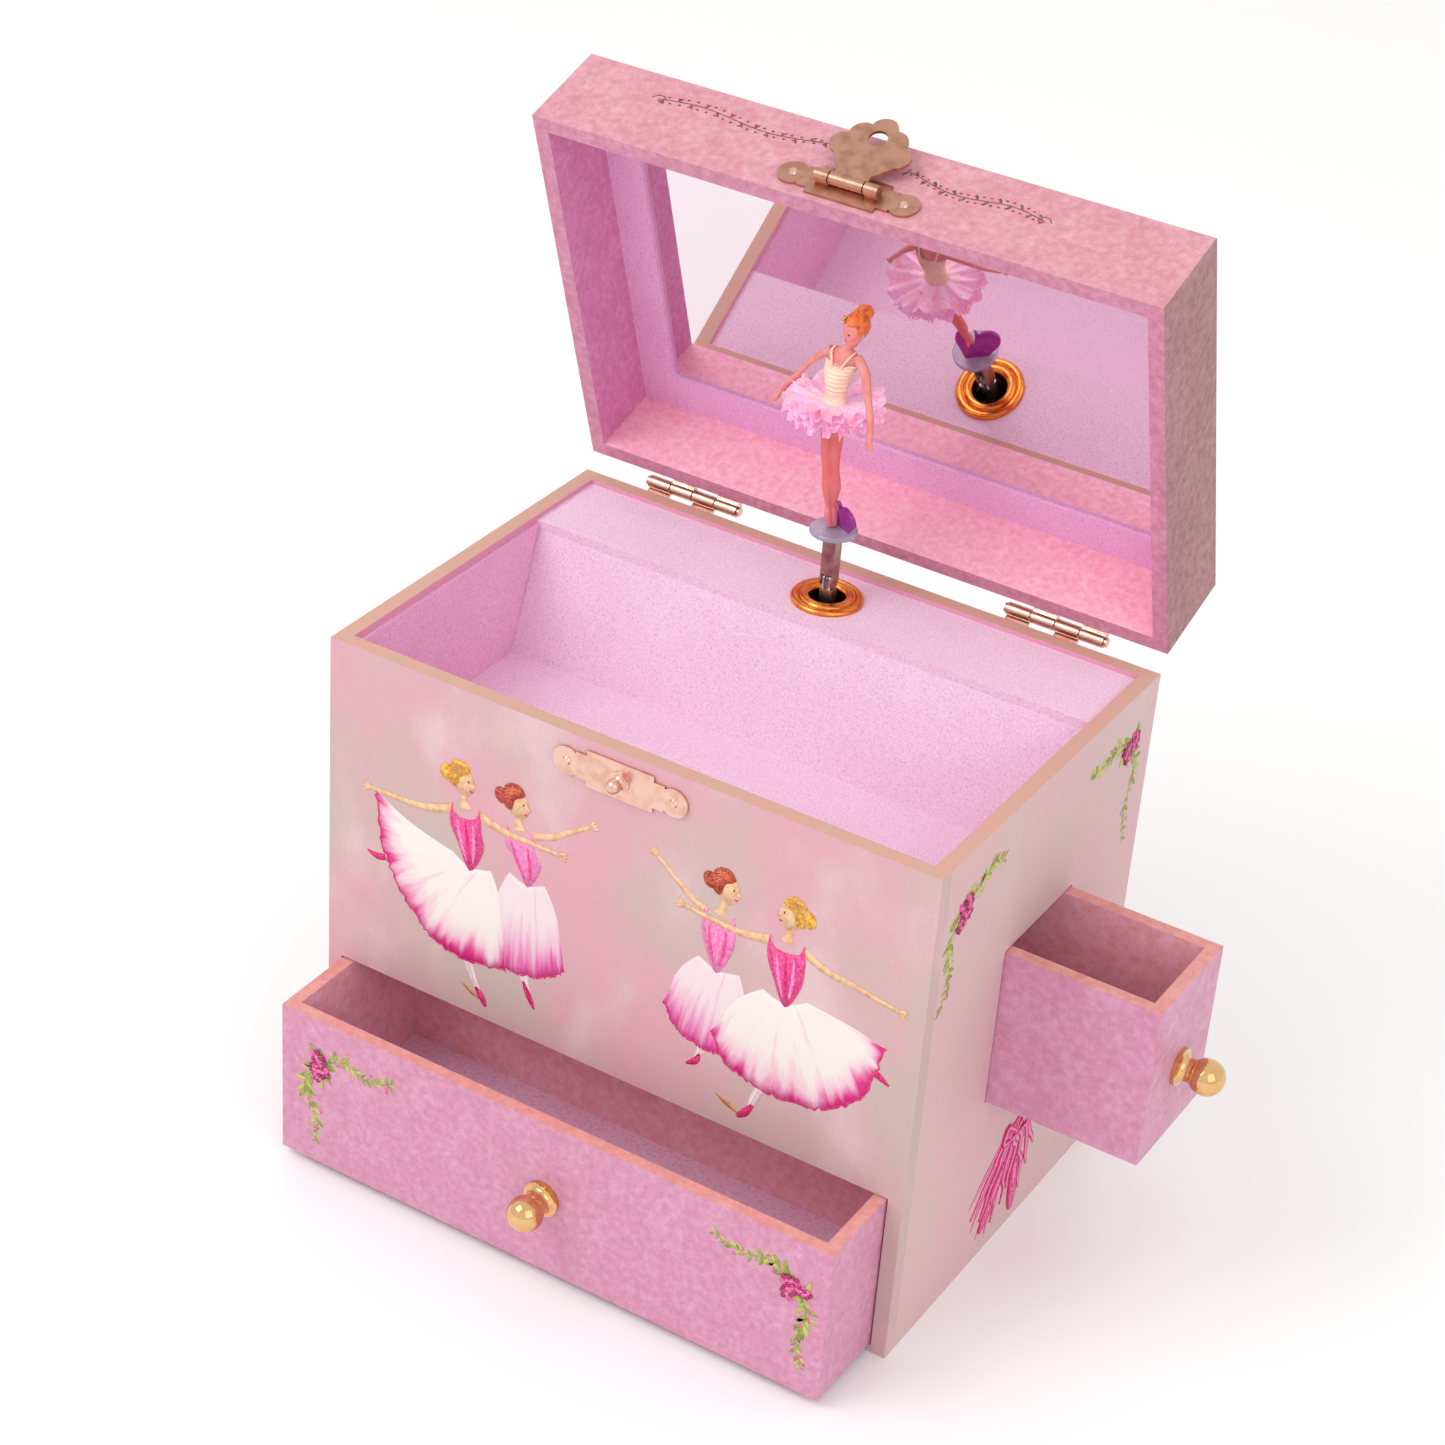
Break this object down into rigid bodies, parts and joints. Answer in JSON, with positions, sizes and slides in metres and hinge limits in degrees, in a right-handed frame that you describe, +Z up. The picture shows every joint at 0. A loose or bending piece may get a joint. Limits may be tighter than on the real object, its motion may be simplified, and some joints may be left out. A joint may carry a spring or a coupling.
{
  "type": "ballerina jewellery box",
  "caption": "Covered-board jewellery box with tray, front and side drawers, mirrored hinged lid, hasp catch and a clockwork movement turning a folding ballerina.",
  "frame": {"origin": "centre of the body's underside", "axes": "+Z up, -Y towards the front drawer, +X towards the side drawer"},
  "size_m": [0.1969, 0.1557, 0.2352],
  "materials": {
    "printed_paper": "matt marbled paper over greyboard",
    "inner_board": "plain board",
    "flock": "light lilac-pink flock on board",
    "flock_pink": "pink flock on card",
    "lid_paper": "mottled pink paper with a slight gloss, over greyboard",
    "drawer_paper": "mottled pink paper over greyboard",
    "drawer_flock": "lavender flock on card",
    "mirror": "silvered glass",
    "mat_card": "lavender card",
    "brass": "lacquered rose-brass pressing",
    "gold": "polished gold-coloured brass",
    "steel": "plain steel",
    "zinc_casting": "die-cast plate",
    "clear_plastic": "clear moulded plastic",
    "heart_plastic": "magenta moulded plastic",
    "doll_plastic": "painted moulded plastic",
    "tulle": "ruffled lilac-pink tulle"
  },
  "bodies": {
    "root": {"bottom_panel": "printed_paper", "left_wall": "printed_paper", "right_wall": "printed_paper", "back_wall": "printed_paper", "front_panel": "printed_paper", "drawer_shelf": "inner_board", "front_drawer_stop": "inner_board", "side_drawer_bay": "inner_board", "tray_floor": "flock", "tray_slope": "flock", "platform": "flock", "tray_liner": "flock_pink", "grommet": "brass", "catch_plate": "brass", "catch_stud": "brass", "body_nails": "brass", "hinge_body_leaves": "brass", "hinge_pins": "brass", "movement_bedplate": "zinc_casting", "movement_screws": "steel", "tone_comb": "steel", "governor_frame": "gold"},
    "lid": {"lid_top_panel": "lid_paper", "lid_front_wall": "lid_paper", "lid_back_wall": "lid_paper", "lid_side_walls": "lid_paper", "mirror": "mirror", "mirror_mat": "mat_card", "hasp_plate": "brass", "hasp_pin": "brass", "lid_nails": "brass", "hinge_lid_leaves": "brass"},
    "hasp": {"hasp_leaf": "brass"},
    "front_drawer": {"front_drawer_front": "drawer_paper", "front_drawer_walls": "drawer_paper", "front_drawer_base": "drawer_paper", "front_drawer_liner": "drawer_flock", "front_drawer_knob": "gold", "front_drawer_knob_screw": "steel"},
    "side_drawer": {"side_drawer_front": "drawer_paper", "side_drawer_walls": "drawer_paper", "side_drawer_base": "drawer_paper", "side_drawer_liner": "drawer_flock", "side_drawer_knob": "gold", "side_drawer_knob_screw": "steel"},
    "barrel": {"spring_barrel": "gold", "mainspring": "steel"},
    "cylinder": {"pinned_cylinder": "gold"},
    "governor_gear": {"governor_wheel": "gold"},
    "fan": {"governor_fan": "gold"},
    "winder": {"winding_arbor": "steel", "winding_key": "steel"},
    "spindle_shaft": {"spindle": "steel", "fold_pin": "steel", "fold_spring": "steel"},
    "dancer": {"folding_post": "steel", "figure_disc": "clear_plastic", "heart_plate": "heart_plastic", "ballerina_figure": "doll_plastic", "tutu": "tulle"}
  },
  "joints": [
    {"name": "lid_hinge", "type": "hinge", "parent": "root", "child": "lid", "pos_m": [0, 0.05296, 0.12584], "axis": [-1, 0, 0], "range_deg": [-71.5, 0]},
    {"name": "hasp_hinge", "type": "hinge", "parent": "lid", "child": "hasp", "pos_m": [0, 0.02525, 0.22651], "axis": [-1, 0, 0], "range_deg": [-172, 0]},
    {"name": "front_drawer_slide", "type": "slide", "parent": "root", "child": "front_drawer", "axis": [0, -1, 0], "range_m": [-0.022, 0.05]},
    {"name": "side_drawer_slide", "type": "slide", "parent": "root", "child": "side_drawer", "axis": [1, 0, 0], "range_m": [-0.0362, 0.018]},
    {"name": "barrel_run", "type": "hinge", "parent": "root", "child": "barrel", "pos_m": [0, 0.024, 0.088], "axis": [0, 1, 0], "range_deg": [0, 1440]},
    {"name": "spindle_turn", "type": "hinge", "parent": "root", "child": "spindle_shaft", "pos_m": [0, 0.0337, 0.11], "axis": [0, 0, 1], "range_deg": [0, 4330]},
    {"name": "cylinder_turn", "type": "hinge", "parent": "root", "child": "cylinder", "pos_m": [0.03, 0.0337, 0.088], "axis": [1, 0, 0], "range_deg": [0, 4330]},
    {"name": "governor_turn", "type": "hinge", "parent": "root", "child": "governor_gear", "pos_m": [0.057, 0.0337, 0.099], "axis": [1, 0, 0], "range_deg": [-11530, 0]},
    {"name": "fan_turn", "type": "hinge", "parent": "root", "child": "fan", "pos_m": [0.057, 0.0337, 0.11], "axis": [1, 0, 0], "range_deg": [0, 30730]},
    {"name": "key_winding", "type": "hinge", "parent": "root", "child": "winder", "pos_m": [0, 0.048, 0.088], "axis": [0, 1, 0], "range_deg": [0, 1440]},
    {"name": "figure_fold", "type": "hinge", "parent": "spindle_shaft", "child": "dancer", "pos_m": [0, 0.0337, 0.1293], "axis": [1, 0, 0], "range_deg": [0, 89]}
  ],
  "couplings": [
    {"joint": "spindle_turn", "follows": "barrel_run", "ratio": 3},
    {"joint": "cylinder_turn", "follows": "barrel_run", "ratio": 3},
    {"joint": "governor_turn", "follows": "barrel_run", "ratio": -8},
    {"joint": "fan_turn", "follows": "barrel_run", "ratio": 21.333},
    {"joint": "figure_fold", "follows": "lid_hinge", "ratio": -1.2308}
  ]
}
